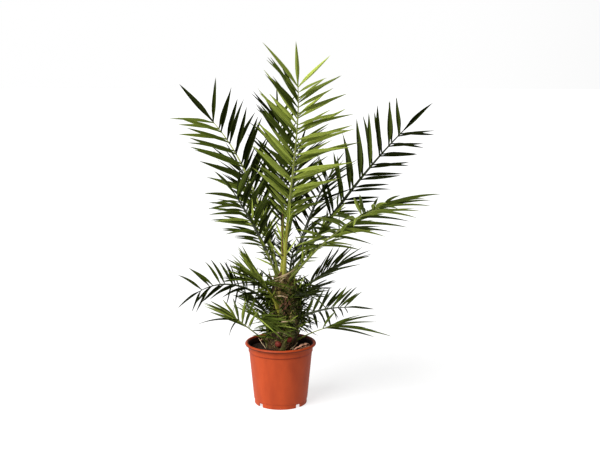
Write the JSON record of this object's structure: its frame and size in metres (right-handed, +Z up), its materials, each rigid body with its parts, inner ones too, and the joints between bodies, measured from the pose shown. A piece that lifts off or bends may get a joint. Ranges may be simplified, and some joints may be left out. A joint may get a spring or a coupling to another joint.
{
  "type": "potted young date palm",
  "caption": "Potted young date palm: short fibrous trunk with arching feathered fronds in a tapered terracotta-coloured plastic nursery pot.",
  "frame": {"origin": "centre of the pot's flat underside, on the floor", "axes": "+Z up along the pot's axis and the trunk, -Y towards the picture's viewer, +X to the picture's right"},
  "size_m": [0.9659, 0.9532, 1.1943],
  "materials": {
    "terracotta_plastic": "satin",
    "moist_soil": "matte",
    "trunk_fibre": "matte, fibrous",
    "frond_leaf": "satin leaf"
  },
  "bodies": {
    "root": {"pot": "terracotta_plastic", "soil": "moist_soil", "trunk": "trunk_fibre", "frond_front_high": "frond_leaf", "frond_back_high": "frond_leaf", "frond_left_high": "frond_leaf", "frond_left_mid": "frond_leaf", "frond_right_high": "frond_leaf", "frond_right_mid": "frond_leaf", "frond_left_low": "frond_leaf", "frond_left_bottom": "frond_leaf", "frond_front_left_low": "frond_leaf", "frond_right_low_back": "frond_leaf", "frond_right_low": "frond_leaf", "frond_right_bottom": "frond_leaf", "frond_back_mid": "frond_leaf", "frond_back_left_mid": "frond_leaf", "frond_back_right_mid": "frond_leaf", "frond_back_left_low": "frond_leaf", "frond_back_low": "frond_leaf", "frond_back_right_low": "frond_leaf", "frond_back_bottom": "frond_leaf", "frond_front_bottom": "frond_leaf", "frond_front_right_low": "frond_leaf"}
  },
  "joints": []
}
